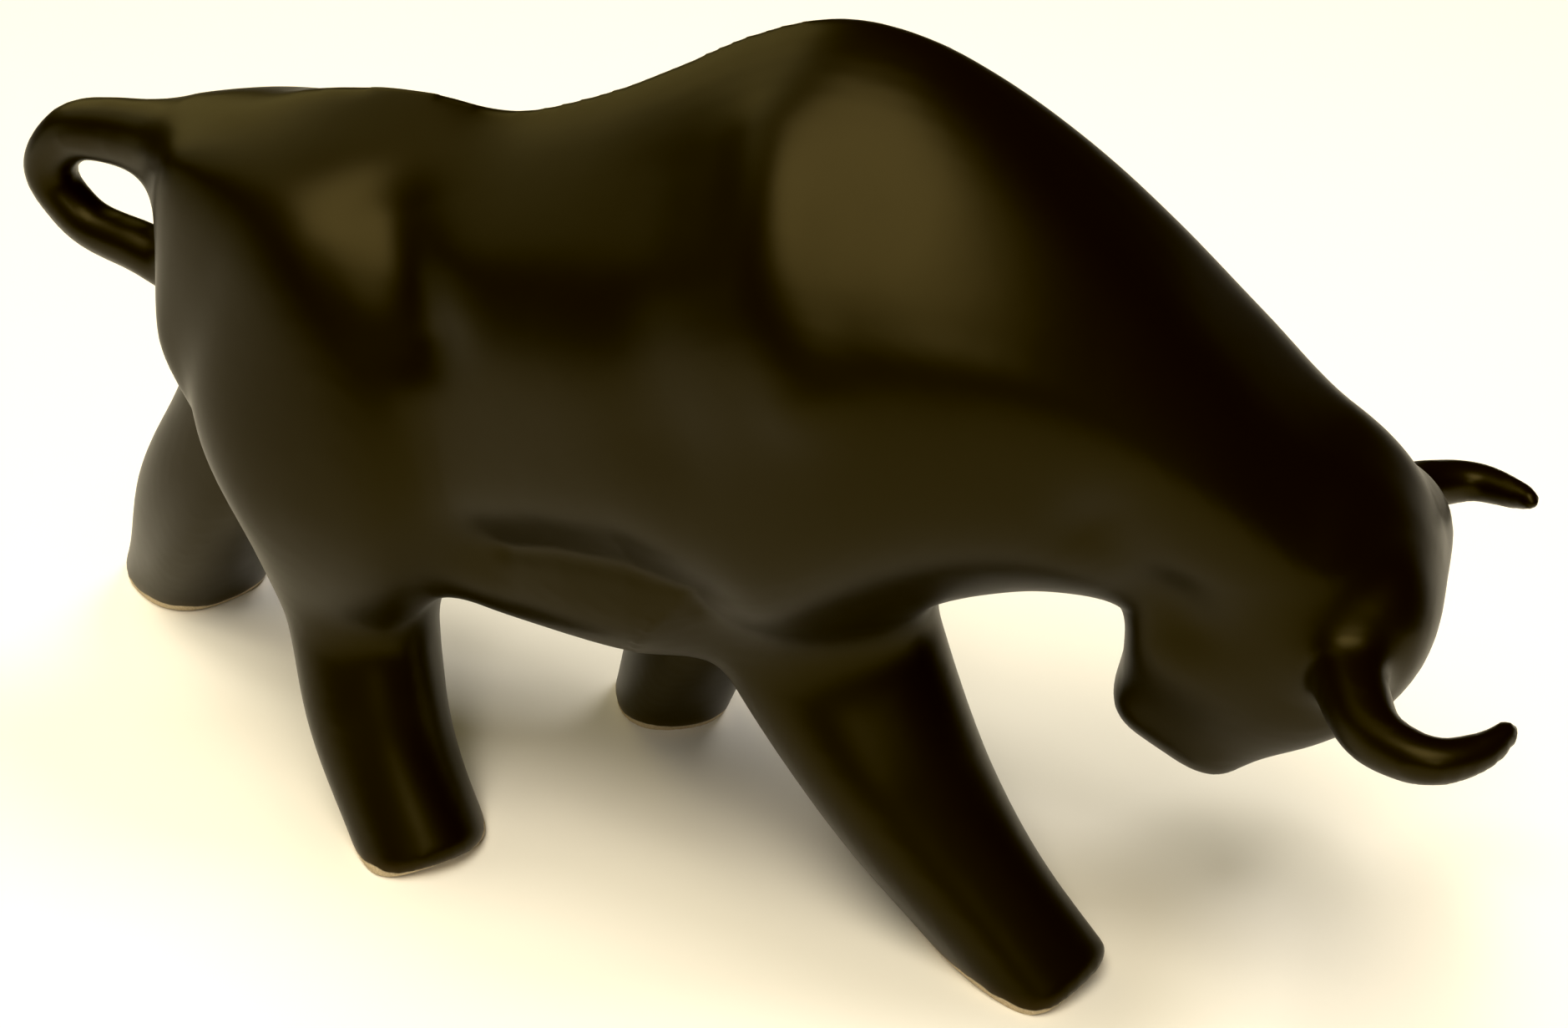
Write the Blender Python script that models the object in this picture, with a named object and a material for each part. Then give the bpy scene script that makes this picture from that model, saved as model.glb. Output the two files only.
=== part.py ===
"""Charging bull, a slip-cast ceramic figure in one piece, satin black glaze over pale clay.

Metres, +Z up, +X towards the horns, +Y to the bull's own left.  The figure stands on four
flat feet at Z = 0, with the origin under the middle of its outline.

Every form of the animal is a stack or a sweep of rounded sections.  The forms overlap, one
voxel skin welds them into a single body, and the inner corners where they meet are filled
as soft clay would be.  The pose and the proportions are shares of BODY_LENGTH.
"""

import math

import bmesh
import bpy
import numpy as np

# Driving sizes, in metres
BODY_LENGTH = 0.290  # rump to forehead
FILL_RADIUS = 0.010  # how far the soft filling reaches into an inner corner
RUB_RADIUS = 0.010  # how far the clay is smoothed where it is rubbed

# Fineness of the modelled surface
SKIN_CELL = 0.0020  # cell of the voxel skin that welds the forms, in metres
FACE_COUNT = 7200  # triangles that the finished body keeps

# Everything below is in shares of BODY_LENGTH.  x runs from the rump to the forehead, y is
# the distance from the middle plane, and z is the height above the table.

# Trunk and neck, as upright sections.  Each is a rounded polygon round its centre: x and z of
# the centre, then the distances to its top, roof, wall, flank and floor, and the degrees by
# which the roof leans from upright.
TRUNK = (
    (-0.450, 0.400, 0.118, 0.118, 0.085, 0.118, 0.132, 46),
    (-0.400, 0.390, 0.145, 0.134, 0.092, 0.132, 0.162, 48),
    (-0.320, 0.380, 0.181, 0.144, 0.102, 0.150, 0.182, 50),
    (-0.270, 0.376, 0.198, 0.146, 0.111, 0.162, 0.188, 50),
    (-0.232, 0.375, 0.198, 0.147, 0.116, 0.173, 0.195, 50),
    (-0.190, 0.375, 0.185, 0.147, 0.121, 0.184, 0.201, 50),
    (-0.110, 0.375, 0.205, 0.160, 0.133, 0.194, 0.201, 48),
    (-0.050, 0.380, 0.229, 0.173, 0.143, 0.200, 0.201, 46),
    (0.000, 0.390, 0.243, 0.182, 0.152, 0.200, 0.206, 44),
    (0.050, 0.400, 0.245, 0.187, 0.158, 0.190, 0.206, 42),
    (0.107, 0.410, 0.229, 0.176, 0.159, 0.170, 0.184, 42),
    (0.161, 0.412, 0.198, 0.165, 0.150, 0.148, 0.152, 43),
    (0.215, 0.410, 0.160, 0.149, 0.136, 0.132, 0.120, 45),
    (0.270, 0.400, 0.122, 0.128, 0.121, 0.120, 0.102, 47),
    (0.326, 0.384, 0.084, 0.104, 0.110, 0.105, 0.090, 50),
    (0.385, 0.355, 0.066, 0.083, 0.099, 0.094, 0.084, 52),
    (0.470, 0.320, 0.068, 0.075, 0.084, 0.082, 0.074, 55),
)
TRUNK_CAPS = (0.110, 0.075)  # lengths over which its rear and front ends round off
TRUNK_CORNER = 12.0  # how crisp the polygon's corners are

# Head, from the poll to the muzzle: x, z, half width, half depth
HEAD = (
    (0.400, 0.395, 0.086, 0.066),
    (0.380, 0.325, 0.100, 0.092),
    (0.350, 0.265, 0.094, 0.080),
    (0.326, 0.215, 0.073, 0.057),
    (0.300, 0.166, 0.058, 0.044),
)
HEAD_CAPS = (0.050, 0.040)
HEAD_CORNER = 4.5  # exponent of its superellipse sections

# Legs, downwards: share of the way from hip to foot, half length fore and aft, half width
HIND_LEG = (
    (0.00, 0.050, 0.040),
    (0.13, 0.088, 0.048),
    (0.28, 0.108, 0.058),
    (0.42, 0.092, 0.062),
    (0.62, 0.057, 0.056),
    (0.76, 0.052, 0.052),
    (0.90, 0.048, 0.049),
    (1.00, 0.049, 0.049),
)
FORE_LEG = (
    (0.00, 0.080, 0.040),
    (0.30, 0.090, 0.054),
    (0.52, 0.078, 0.058),
    (0.72, 0.060, 0.054),
    (0.88, 0.048, 0.050),
    (1.00, 0.047, 0.048),
)
LEG_CAPS = (0.060, 0.012)
LEG_CORNER = 2.5
HIND_TURN = (-18, 30)  # degrees by which a hind leg's flat side faces forwards, at hip and foot
FORE_TURN = (0, 60)
# Each leg's girth and its middle line, downwards: x, y and z, with the foot on the table
LEGS = {
    "near_hind": (1.00, (
        (-0.365, -0.040, 0.500), (-0.335, -0.060, 0.445), (-0.304, -0.076, 0.372),
        (-0.284, -0.084, 0.290), (-0.304, -0.056, 0.168), (-0.281, -0.088, 0.082),
        (-0.220, -0.134, -0.020),
    )),
    "far_hind": (1.20, (
        (-0.365, 0.040, 0.500), (-0.340, 0.060, 0.445), (-0.330, 0.076, 0.372),
        (-0.400, 0.084, 0.280), (-0.515, 0.090, 0.160), (-0.624, 0.142, -0.020),
    )),
    "near_fore": (1.00, (
        (0.055, -0.080, 0.500), (0.046, -0.074, 0.330), (0.060, -0.030, 0.218),
        (0.134, -0.060, 0.110), (0.266, -0.102, -0.020),
    )),
    "far_fore": (0.95, (
        (0.055, 0.080, 0.500), (0.040, 0.078, 0.330), (-0.016, 0.060, 0.220),
        (-0.080, 0.078, 0.108), (-0.130, 0.114, -0.020),
    )),
}

# Haunches, one block on each side.  A flat's numbers are the direction that it faces, as x, away
# from the middle plane and z, and its distance from the middle of the block.
HAUNCH_MIDDLE = (-0.290, 0.050, 0.420)
HAUNCH_FLATS = {
    "outer": (-0.150, 0.980, 0.080, 0.055),
    "roof": (0.300, 0.640, 0.710, 0.084),
    "top": (0.000, 0.200, 0.980, 0.108),
    "rear": (-0.880, 0.450, 0.150, 0.136),
    "back of thigh": (-0.800, 0.350, -0.500, 0.152),
    "front": (0.900, 0.300, -0.300, 0.110),
    "under": (0.000, 0.550, -0.830, 0.190),
    "inner": (0.000, -1.000, 0.000, 0.050),
}
HAUNCH_CORNER = 20.0  # how crisp the block's edges are

# Touches of the modelling thumb: a path, its reach above and below the path, and its height
# along the surface's own normal.  A path's places are x, distance from the middle plane and z.
TOUCHES = {
    "hip hollow": (((-0.226, 0.092, 0.512), (-0.196, 0.125, 0.440)), 0.032, 0.032, -0.013),
    "shoulder crest": (((0.030, 0.080, 0.600), (0.085, 0.150, 0.460)), 0.028, 0.028, 0.006),
    "shoulder valley": (((-0.045, 0.090, 0.560), (-0.005, 0.140, 0.420)), 0.045, 0.045, -0.006),
    "cheek hollow": (((0.264, 0.115, 0.384), (0.325, 0.096, 0.314)), 0.030, 0.026, -0.008),
    "belly fold": ((
        (-0.150, 0.124, 0.270), (-0.110, 0.128, 0.281), (-0.050, 0.136, 0.289),
        (-0.002, 0.142, 0.282), (0.012, 0.143, 0.245),
    ), 0.036, 0.056, -0.021),
}
# Places rubbed smooth before that: a path and its reach
RUBBED = {
    "croup": (((-0.430, 0.020, 0.500), (-0.370, 0.050, 0.520), (-0.330, 0.060, 0.520)), 0.050),
    "haunch rear": (((-0.390, 0.070, 0.495), (-0.400, 0.090, 0.430)), 0.035),
    "thigh": (((-0.300, 0.115, 0.360), (-0.290, 0.110, 0.270)), 0.050),
    "hip edge": (((-0.248, 0.050, 0.530), (-0.228, 0.100, 0.460)), 0.028),
    "throat": (((0.120, 0.125, 0.270), (0.165, 0.080, 0.262)), 0.028),
    "ribs": (((-0.175, 0.118, 0.450), (-0.060, 0.130, 0.480)), 0.040),
}

# One horn, from inside the head to the tip: x, y, z, radius
HORN = (
    (0.414, 0.060, 0.312, 0.025),
    (0.426, 0.114, 0.306, 0.0220),
    (0.448, 0.154, 0.302, 0.0178),
    (0.478, 0.166, 0.304, 0.0142),
    (0.506, 0.150, 0.309, 0.0105),
    (0.520, 0.130, 0.316, 0.0055),
)
HORN_CAPS = (0.020, 0.008)
# Tail, from the croup round to the back of the haunches: x, z, half height, half width
TAIL = (
    (-0.250, 0.450, 0.080, 0.088),
    (-0.320, 0.460, 0.080, 0.088),
    (-0.380, 0.474, 0.064, 0.072),
    (-0.432, 0.488, 0.043, 0.049),
    (-0.488, 0.496, 0.0275, 0.030),
    (-0.541, 0.488, 0.021, 0.023),
    (-0.567, 0.457, 0.018, 0.020),
    (-0.547, 0.423, 0.018, 0.019),
    (-0.490, 0.402, 0.020, 0.021),
    (-0.410, 0.370, 0.025, 0.027),
)
TAIL_CAPS = (0.030, 0.020)


def through(rows, count):
    """Reads count even places on a smooth curve through the rows, by cubic Hermite spans."""
    rows = np.asarray(rows, float)
    steps = np.linalg.norm(np.diff(rows[:, :3], axis=0), axis=1)
    knots = np.concatenate([[0.0], np.cumsum(steps)])
    slopes = np.gradient(rows, knots, axis=0)
    at = np.linspace(0.0, knots[-1], count)
    span = np.clip(np.searchsorted(knots, at, side="right") - 1, 0, len(steps) - 1)
    width = steps[span][:, None]
    t = (at - knots[span])[:, None] / width
    return (
        (2 * t**3 - 3 * t**2 + 1) * rows[span]
        + (t**3 - 2 * t**2 + t) * width * slopes[span]
        + (3 * t**2 - 2 * t**3) * rows[span + 1]
        + (t**3 - t**2) * width * slopes[span + 1]
    )


def rounded(length, cap_start, cap_end):
    """Factors along a form that bring its two ends round to a point, as quarter ellipses."""
    near = np.clip(length / cap_start, 0.0, 1.0)
    far = np.clip((length[-1] - length) / cap_end, 0.0, 1.0)
    return np.sqrt(1 - (1 - near) ** 2) * np.sqrt(1 - (1 - far) ** 2)


def skin(body, centres, rings):
    """Adds a closed form to the bmesh: its rings of points, drawn in to a pole at each end."""
    sides = rings.shape[1]
    rows = [[body.verts.new(point) for point in ring] for ring in rings[1:-1] * BODY_LENGTH]
    for lower, upper in zip(rows, rows[1:]):
        for k in range(sides):
            following = (k + 1) % sides
            body.faces.new((lower[k], lower[following], upper[following], upper[k]))
    for row, tip in ((rows[0], centres[0]), (rows[-1], centres[-1])):
        pole = body.verts.new(tip * BODY_LENGTH)
        for k in range(sides):
            body.faces.new((row[k], row[(k + 1) % sides], pole))


def trunk(body, count=110, sides=64):
    """Trunk and neck: upright rounded polygons down the length of the body.

    The radius at each turn is the p-norm of the polygon's sides.  Turns are counted from
    straight up to either side, so that the two walls mirror each other.
    """
    rows = through([(x, 0, 0, *rest) for x, *rest in TRUNK], count)
    x, height, distances = rows[:, 0], rows[:, 3], rows[:, 4:9]
    roof = 90 - rows[:, 9]
    level = np.ones(count)
    facing = np.radians(np.stack([0 * level, roof, 90 * level, 135 * level, 180 * level], axis=1))
    turn = np.linspace(-math.pi, math.pi, sides, endpoint=False)
    reach = np.cos(np.abs(turn)[None, :, None] - facing[:, None]) / distances[:, None]
    radius = (np.maximum(reach, 0.0) ** TRUNK_CORNER).sum(axis=2) ** (-1.0 / TRUNK_CORNER)
    radius *= rounded(x - x[0], *TRUNK_CAPS)[:, None]
    rings = np.empty((count, sides, 3))
    rings[..., 0] = x[:, None]
    rings[..., 1] = radius * np.sin(turn)
    rings[..., 2] = height[:, None] + radius * np.cos(turn)
    skin(body, np.stack([x, 0 * x, height], axis=1), rings)


def haunch(body, side, count=60, sides=80):
    """One haunch, as rings from its lowest to its highest point.

    In each direction the skin lies at the p-norm of the block's flats from its middle.
    """
    flats = np.array(list(HAUNCH_FLATS.values()))
    facing = flats[:, :3] / np.linalg.norm(flats[:, :3], axis=1)[:, None]
    tilt = np.linspace(-math.pi / 2, math.pi / 2, count)[:, None]
    turn = np.linspace(0.0, math.tau, sides, endpoint=False)[None]
    rises = np.broadcast_to(np.sin(tilt), (count, sides))
    ways = np.stack([np.cos(tilt) * np.cos(turn), np.cos(tilt) * np.sin(turn), rises], axis=-1)
    reach = np.maximum(ways @ facing.T / flats[:, 3], 0.0)
    radius = (reach**HAUNCH_CORNER).sum(axis=-1) ** (-1.0 / HAUNCH_CORNER)
    rings = (ways * radius[..., None] + HAUNCH_MIDDLE) * (1, side, 1)
    skin(body, rings.mean(axis=1), rings)


def sweep(body, rows, caps, corner=2.0, swing=(0.0, 0.0), count=60, sides=40):
    """A closed form along a line in space.  Rows hold the place, half width and half depth.

    The section is a superellipse square to the line, swung round it from one angle to the
    other.  Its width lies along Y, or along Z for a form that itself runs along Y.
    """
    rows = through(rows, count)
    centres, wide, deep = rows[:, :3], rows[:, 3:4], rows[:, 4:5]
    along = np.gradient(centres, axis=0)
    along /= np.linalg.norm(along, axis=1)[:, None]
    steps = np.linalg.norm(np.diff(centres, axis=0), axis=1)
    end = rounded(np.concatenate([[0.0], np.cumsum(steps)]), *caps)[:, None]
    runs_sideways = abs(along[:, 1]).max() > 0.7
    guide = np.array([0.0, 0.0, 1.0]) if runs_sideways else np.array([0.0, 1.0, 0.0])
    across = guide - (along @ guide)[:, None] * along
    across /= np.linalg.norm(across, axis=1)[:, None]
    upright = np.cross(along, across)
    swing = np.linspace(*swing, count)[:, None]
    width_axis = across * np.cos(swing) + upright * np.sin(swing)
    depth_axis = upright * np.cos(swing) - across * np.sin(swing)
    turn = np.linspace(0.0, math.tau, sides, endpoint=False)
    share_wide = np.sign(np.cos(turn)) * np.abs(np.cos(turn)) ** (2 / corner)
    share_deep = np.sign(np.sin(turn)) * np.abs(np.sin(turn)) ** (2 / corner)
    rings = centres[:, None] + (share_wide * wide * end)[..., None] * width_axis[:, None]
    rings += (share_deep * deep * end)[..., None] * depth_axis[:, None]
    skin(body, centres, rings)


def leg(body, line, girth, sizes, turned):
    """A leg with its thigh or shoulder, tapering down its line to below the table."""
    line = through(line, 60)
    down = np.linspace(0.0, 1.0, len(line))
    table = through([(share, 0, 0, deep, wide) for share, deep, wide in sizes], 200)
    deep = np.interp(down, table[:, 0], table[:, 3]) * girth
    wide = np.interp(down, table[:, 0], table[:, 4]) * girth
    side = -1 if line[0, 1] < 0 else 1
    rows = np.concatenate([line, wide[:, None], deep[:, None]], axis=1)
    sweep(body, rows, LEG_CAPS, LEG_CORNER, side * np.radians(turned))


def forms():
    """Every form of the animal as its own closed shell, overlapping its neighbours."""
    body = bmesh.new()
    trunk(body)
    sweep(body, [(x, 0, z, wide, deep) for x, z, wide, deep in HEAD], HEAD_CAPS, HEAD_CORNER)
    for name, (girth, line) in LEGS.items():
        hind = name.endswith("hind")
        leg(body, line, girth, HIND_LEG if hind else FORE_LEG, HIND_TURN if hind else FORE_TURN)
    for side in (-1, 1):
        haunch(body, side)
        sweep(body, [(x, side * y, z, radius, radius) for x, y, z, radius in HORN], HORN_CAPS)
    sweep(body, [(x, 0, z, wide, tall) for x, z, tall, wide in TAIL], TAIL_CAPS)
    bmesh.ops.recalc_face_normals(body, faces=body.faces)
    mesh = bpy.data.meshes.new("forms")
    body.to_mesh(mesh)
    body.free()
    return mesh


def modified(mesh, name, kind, **settings):
    """Passes a mesh through one modifier and returns the mesh that comes out."""
    holder = bpy.data.objects.new(name, mesh)
    bpy.context.scene.collection.objects.link(holder)
    modifier = holder.modifiers.new(name, kind)
    for setting, value in settings.items():
        setattr(modifier, setting, value)
    graph = bpy.context.evaluated_depsgraph_get()
    result = bpy.data.meshes.new_from_object(holder.evaluated_get(graph))
    bpy.data.objects.remove(holder)
    bpy.data.meshes.remove(mesh)
    return result


def read(collection, field, width, kind=np.float32):
    """One field of a mesh's vertices or edges, as rows."""
    values = np.empty(len(collection) * width, kind)
    collection.foreach_get(field, values)
    return values.reshape(-1, width)


def move(mesh, points):
    """Puts the mesh's vertices at new places."""
    mesh.vertices.foreach_set("co", points.astype(np.float32).ravel())
    mesh.update()


def to_neighbours(mesh):
    """A function of the vertices' places: the way from each to the middle of its neighbours."""
    edges = read(mesh.edges, "vertices", 2, np.int32)
    ends = np.concatenate([edges, edges[:, ::-1]])
    total = len(mesh.vertices)
    count = np.bincount(ends[:, 0], minlength=total)[:, None]

    def way(points):
        """From each vertex to the middle of its neighbours."""
        far = points[ends[:, 1]]
        sums = [np.bincount(ends[:, 0], far[:, axis], total) for axis in range(3)]
        return np.stack(sums, axis=1) / count - points

    return way


def fill_corners(mesh):
    """Fills inner corners: a vertex whose neighbours lie further out moves out to them."""
    points = read(mesh.vertices, "co", 3).astype(float)
    way = to_neighbours(mesh)
    for step in range(int(2 * (FILL_RADIUS / SKIN_CELL) ** 2)):
        if step % 5 == 0:
            move(mesh, points)
            normals = read(mesh.vertices, "normal", 3).astype(float)
        outward = np.maximum((way(points) * normals).sum(axis=1), 0.0)
        points += 0.5 * outward[:, None] * normals
    for _ in range(4):
        points += 0.50 * way(points)
        points -= 0.52 * way(points)
    move(mesh, points)


def from_path(mesh, path):
    """Each vertex's distance from a path, and its height over the nearest point of the path.

    Both are shares of the body's length, and both sides are read as the left one.
    """
    place = read(mesh.vertices, "co", 3) / BODY_LENGTH
    place[:, 1] = np.abs(place[:, 1])
    nearest = np.full(len(place), np.inf)
    over = np.zeros(len(place))
    for start, end in zip(path, path[1:]):
        run = np.subtract(end, start)
        along = np.clip((place - start) @ run / (run @ run), 0.0, 1.0)
        offset = place - start - along[:, None] * run
        away = np.linalg.norm(offset, axis=1)
        over = np.where(away < nearest, offset[:, 2], over)
        nearest = np.minimum(away, nearest)
    return nearest, over


def rub(mesh):
    """Smooths the rubbed places: a vertex moves towards its neighbours, the nearer the more."""
    strength = np.zeros(len(mesh.vertices))
    for path, reach in RUBBED.values():
        away, _ = from_path(mesh, path)
        strength = np.maximum(strength, np.exp(-((away / reach) ** 2)))
    points = read(mesh.vertices, "co", 3).astype(float)
    way = to_neighbours(mesh)
    for _ in range(int(4 * (RUB_RADIUS / SKIN_CELL) ** 2)):
        points += 0.5 * strength[:, None] * way(points)
    move(mesh, points)


def touch(mesh):
    """Raises the crests and presses the hollows, each along its path, on both sides."""
    height = np.zeros(len(mesh.vertices))
    for path, reach_above, reach_below, rise in TOUCHES.values():
        away, over = from_path(mesh, path)
        upwards = 0.5 + 0.5 * over / np.maximum(away, 1e-9)
        reach = reach_below + (reach_above - reach_below) * upwards
        height += rise * np.exp(-((away / reach) ** 2))
    normals = read(mesh.vertices, "normal", 3)
    points = read(mesh.vertices, "co", 3).astype(float)
    move(mesh, points + (height * BODY_LENGTH)[:, None] * normals)


def flat_feet(mesh):
    """Cuts the legs off level at the table and closes the four soles."""
    body = bmesh.new()
    body.from_mesh(mesh)
    everything = body.verts[:] + body.edges[:] + body.faces[:]
    cut = bmesh.ops.bisect_plane(
        body, geom=everything, dist=1e-6, plane_co=(0, 0, 0), plane_no=(0, 0, -1), clear_outer=True
    )
    rim = [part for part in cut["geom_cut"] if isinstance(part, bmesh.types.BMEdge)]
    for vert in {vert for edge in rim for vert in edge.verts}:
        vert.co.z = 0.0
    bmesh.ops.edgenet_fill(body, edges=rim)
    bmesh.ops.recalc_face_normals(body, faces=body.faces)
    body.to_mesh(mesh)
    body.free()


def centre(mesh):
    """Slides the body level, until the middle of its outline is at the origin."""
    points = read(mesh.vertices, "co", 3).astype(float)
    middle = (points.min(axis=0) + points.max(axis=0)) / 2
    move(mesh, points - (middle[0], middle[1], 0.0))


def black_glaze():
    """Satin black glaze, a little brown where it is thin."""
    glaze = bpy.data.materials.new("black_glaze")
    glaze.use_nodes = True
    shader = glaze.node_tree.nodes["Principled BSDF"]
    shader.inputs["Base Color"].default_value = (0.012, 0.009, 0.006, 1.0)
    shader.inputs["Roughness"].default_value = 0.25
    shader.inputs["Metallic"].default_value = 0.0
    return glaze


def main():
    """Models the bull as one closed body."""
    for old in list(bpy.data.objects):
        bpy.data.objects.remove(old)
    mesh = modified(forms(), "weld", "REMESH", mode="VOXEL", voxel_size=SKIN_CELL)
    fill_corners(mesh)
    rub(mesh)
    touch(mesh)
    mesh.calc_loop_triangles()
    kept = FACE_COUNT / len(mesh.loop_triangles)
    mesh = modified(mesh, "thin", "DECIMATE", ratio=kept, use_collapse_triangulate=True)
    flat_feet(mesh)
    centre(mesh)
    mesh.name = "bull"
    mesh.materials.clear()
    mesh.materials.append(black_glaze())
    mesh.shade_smooth()
    mesh.set_sharp_from_angle(angle=math.radians(50))
    bpy.context.scene.collection.objects.link(bpy.data.objects.new("bull", mesh))


main()
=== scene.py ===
"""Charging bull, a slip-cast ceramic figure in satin black glaze, dressed for its portrait.

Metres, +Z up, +X towards the horns, +Y to the bull's own left.  Every form of the animal is a
grid of points worked out from a few named sizes.  The forms overlap, a fine voxel skin welds
them, the inner corners are filled as soft clay fills them, and the glaze goes on top.
"""

import logging
import math
from collections.abc import Callable
from dataclasses import dataclass, field
from enum import Enum

import bmesh
import bpy
import numpy as np
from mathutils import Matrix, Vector


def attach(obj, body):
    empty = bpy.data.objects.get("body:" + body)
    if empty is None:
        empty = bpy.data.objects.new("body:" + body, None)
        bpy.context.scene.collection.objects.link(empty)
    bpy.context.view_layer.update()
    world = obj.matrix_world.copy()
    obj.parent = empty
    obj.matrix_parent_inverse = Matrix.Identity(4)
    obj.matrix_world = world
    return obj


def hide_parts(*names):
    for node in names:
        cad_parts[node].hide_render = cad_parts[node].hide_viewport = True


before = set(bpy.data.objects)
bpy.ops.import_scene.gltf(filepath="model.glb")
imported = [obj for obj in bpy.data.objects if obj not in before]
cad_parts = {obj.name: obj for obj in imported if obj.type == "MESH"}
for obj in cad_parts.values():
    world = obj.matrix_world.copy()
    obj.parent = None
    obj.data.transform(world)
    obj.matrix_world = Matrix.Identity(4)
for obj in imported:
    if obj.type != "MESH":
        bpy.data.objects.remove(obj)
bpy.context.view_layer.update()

LOG = logging.getLogger("bull")
Row = tuple[float, ...]

# Keeps a distance or a length that may be nought out of a division.
TINY = 1e-9
# A line that anywhere runs along Y by more than this share counts as one that lies along Y.
SIDEWAYS = 0.7
# The numbers of the colour sockets on a node that mixes two colours.
MIX_FIRST = 6
MIX_SECOND = 7
MIX_RESULT = 2
# From the groin along the belly's lower edge and down behind the elbow.
BELLY_FOLD: tuple[Row, ...] = (
    (-0.150, 0.124, 0.270),
    (-0.110, 0.128, 0.281),
    (-0.050, 0.136, 0.289),
    (-0.002, 0.142, 0.282),
    (0.012, 0.143, 0.245),
)


@dataclass
class Surface:
    """One closed form: rings of points along a line, drawn in to a pole at each end."""

    name: str
    centres: np.ndarray
    rings: np.ndarray

    def points(self) -> np.ndarray:
        """All corners: the first pole, every inner ring in turn, and the last pole."""
        inner = self.rings[1:-1].reshape(-1, 3)
        return np.concatenate([self.centres[:1], inner, self.centres[-1:]])

    def faces(self) -> tuple[np.ndarray, np.ndarray]:
        """Corner numbers of the form's faces.

        Between two rings, corner k of a four-sided face is the next one round or the next
        one along.  A pole is joined to each pair of neighbours on its ring.

        Returns:
            The four-sided faces and the three-sided faces round the poles.
        """
        count, sides = self.rings.shape[0] - 2, self.rings.shape[1]
        place = 1 + np.arange(count * sides).reshape(count, sides)
        beside = np.roll(place, -1, axis=1)
        quads = np.stack([place[:-1], beside[:-1], beside[1:], place[1:]], axis=-1)
        first = np.stack([np.zeros(sides, int), beside[0], place[0]], axis=-1)
        last = np.stack([np.full(sides, 1 + count * sides), place[-1], beside[-1]], axis=-1)
        return quads.reshape(-1, 4), np.concatenate([first, last])


def through(rows: list[Row] | np.ndarray, count: int) -> np.ndarray:
    """Reads even places on a smooth curve through rows of numbers.

    Cubic Hermite spans: p(t) = h00 a + h10 w a' + h01 b + h11 w b', where w is the distance
    between the first three numbers of two neighbouring rows.

    Args:
        rows: The rows, of which the first three numbers are a place.
        count: How many places to read.

    Returns:
        An array of count rows.
    """
    rows = np.asarray(rows, float)
    steps = np.linalg.norm(np.diff(rows[:, :3], axis=0), axis=1)
    knots = np.concatenate([[0.0], np.cumsum(steps)])
    slopes = np.gradient(rows, knots, axis=0)
    at = np.linspace(0.0, knots[-1], count)
    span = np.clip(np.searchsorted(knots, at, side="right") - 1, 0, len(steps) - 1)
    width = steps[span][:, None]
    t = (at - knots[span])[:, None] / width
    return (
        (2 * t**3 - 3 * t**2 + 1) * rows[span]
        + (t**3 - 2 * t**2 + t) * width * slopes[span]
        + (3 * t**2 - 2 * t**3) * rows[span + 1]
        + (t**3 - t**2) * width * slopes[span + 1]
    )


def rounded(length: np.ndarray, caps: tuple[float, float]) -> np.ndarray:
    """Factors that bring a form's two ends round to a point: sqrt(1 - (1 - s / cap)^2).

    Args:
        length: Distance along the form at each ring.
        caps: Lengths of the rounded first and last end.

    Returns:
        One factor from 0 to 1 for each ring.
    """
    near = np.clip(length / caps[0], 0.0, 1.0)
    far = np.clip((length[-1] - length) / caps[1], 0.0, 1.0)
    return np.sqrt(1 - (1 - near) ** 2) * np.sqrt(1 - (1 - far) ** 2)


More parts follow.
